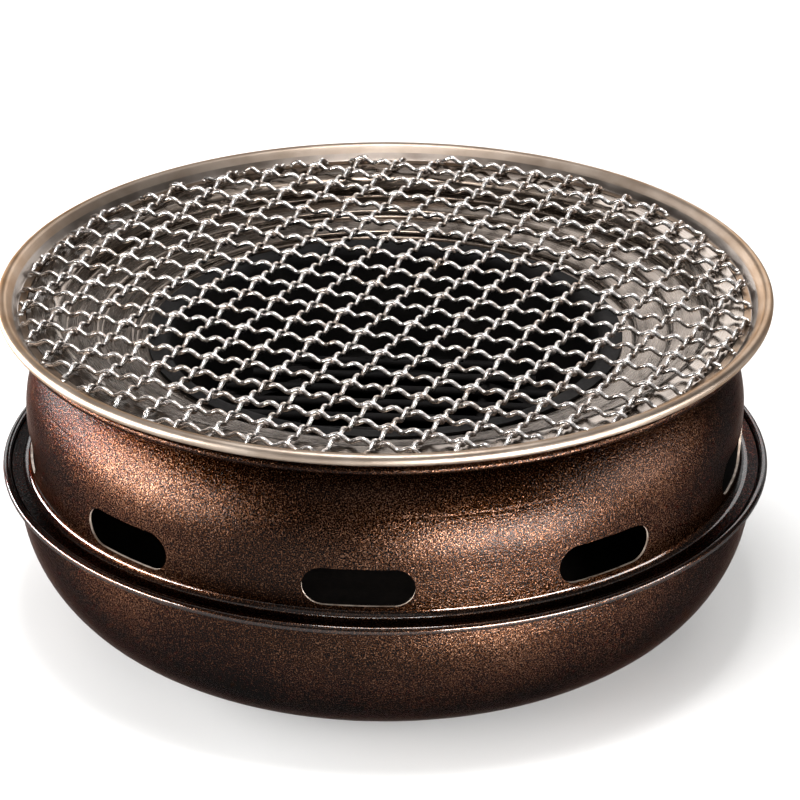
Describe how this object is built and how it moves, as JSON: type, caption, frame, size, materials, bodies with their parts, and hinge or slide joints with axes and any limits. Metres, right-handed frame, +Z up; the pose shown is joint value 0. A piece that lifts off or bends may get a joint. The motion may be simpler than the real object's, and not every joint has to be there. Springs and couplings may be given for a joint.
{
  "type": "charcoal grill",
  "caption": "Round tabletop charcoal grill: vented coated body on a base bowl, with a fire pot, drip ring and a lift-off grid of woven crimped wires.",
  "frame": {"origin": "on the table under the middle of the bowl's flat foot", "axes": "+Z up along the axis of the spun pieces, -Y toward the vent that faces the picture, +X to its right"},
  "size_m": [0.33, 0.33, 0.1481],
  "materials": {
    "coated_steel": "pebbled dark brown pearl coating",
    "stainless_sheet": "spun and polished",
    "black_steel": "matt black",
    "polished_stainless": "polished",
    "stainless_wire": "bright drawn wire"
  },
  "bodies": {
    "base": {"base_bowl": "coated_steel"},
    "body": {"upper_body": "coated_steel"},
    "ring": {"drip_ring": "stainless_sheet"},
    "pot": {"fire_pot": "black_steel"},
    "grate": {"grate_ring": "black_steel", "grate_bar_1": "black_steel", "grate_bar_2": "black_steel", "grate_bar_3": "black_steel", "grate_bar_4": "black_steel", "grate_bar_5": "black_steel", "grate_bar_6": "black_steel", "grate_bar_7": "black_steel", "grate_bar_8": "black_steel", "grate_bar_9": "black_steel", "grate_bar_10": "black_steel", "grate_bar_11": "black_steel", "grate_cross_bar_1": "black_steel", "grate_cross_bar_2": "black_steel"},
    "grid": {"grid_frame": "polished_stainless", "grid_warp_wire_1": "stainless_wire", "grid_warp_wire_2": "stainless_wire", "grid_warp_wire_3": "stainless_wire", "grid_warp_wire_4": "stainless_wire", "grid_warp_wire_5": "stainless_wire", "grid_warp_wire_6": "stainless_wire", "grid_warp_wire_7": "stainless_wire", "grid_warp_wire_8": "stainless_wire", "grid_warp_wire_9": "stainless_wire", "grid_warp_wire_10": "stainless_wire", "grid_warp_wire_11": "stainless_wire", "grid_warp_wire_12": "stainless_wire", "grid_warp_wire_13": "stainless_wire", "grid_warp_wire_14": "stainless_wire", "grid_warp_wire_15": "stainless_wire", "grid_warp_wire_16": "stainless_wire", "grid_warp_wire_17": "stainless_wire", "grid_warp_wire_18": "stainless_wire", "grid_warp_wire_19": "stainless_wire", "grid_warp_wire_20": "stainless_wire", "grid_weft_wire_1": "stainless_wire", "grid_weft_wire_2": "stainless_wire", "grid_weft_wire_3": "stainless_wire", "grid_weft_wire_4": "stainless_wire", "grid_weft_wire_5": "stainless_wire", "grid_weft_wire_6": "stainless_wire", "grid_weft_wire_7": "stainless_wire", "grid_weft_wire_8": "stainless_wire", "grid_weft_wire_9": "stainless_wire", "grid_weft_wire_10": "stainless_wire", "grid_weft_wire_11": "stainless_wire", "grid_weft_wire_12": "stainless_wire", "grid_weft_wire_13": "stainless_wire", "grid_weft_wire_14": "stainless_wire", "grid_weft_wire_15": "stainless_wire", "grid_weft_wire_16": "stainless_wire", "grid_weft_wire_17": "stainless_wire", "grid_weft_wire_18": "stainless_wire", "grid_weft_wire_19": "stainless_wire", "grid_weft_wire_20": "stainless_wire"}
  },
  "joints": [
    {"name": "body_lift", "type": "slide", "parent": "base", "child": "body", "axis": [0, 0, 1], "range_m": [0, 0.1]},
    {"name": "ring_lift", "type": "slide", "parent": "body", "child": "ring", "axis": [0, 0, 1], "range_m": [0, 0.09]},
    {"name": "pot_lift", "type": "slide", "parent": "ring", "child": "pot", "axis": [0, 0, 1], "range_m": [0, 0.08]},
    {"name": "grate_lift", "type": "slide", "parent": "pot", "child": "grate", "axis": [0, 0, 1], "range_m": [0, 0.075]},
    {"name": "grid_lift", "type": "slide", "parent": "grate", "child": "grid", "axis": [0, 0, 1], "range_m": [0, 0.06]}
  ]
}
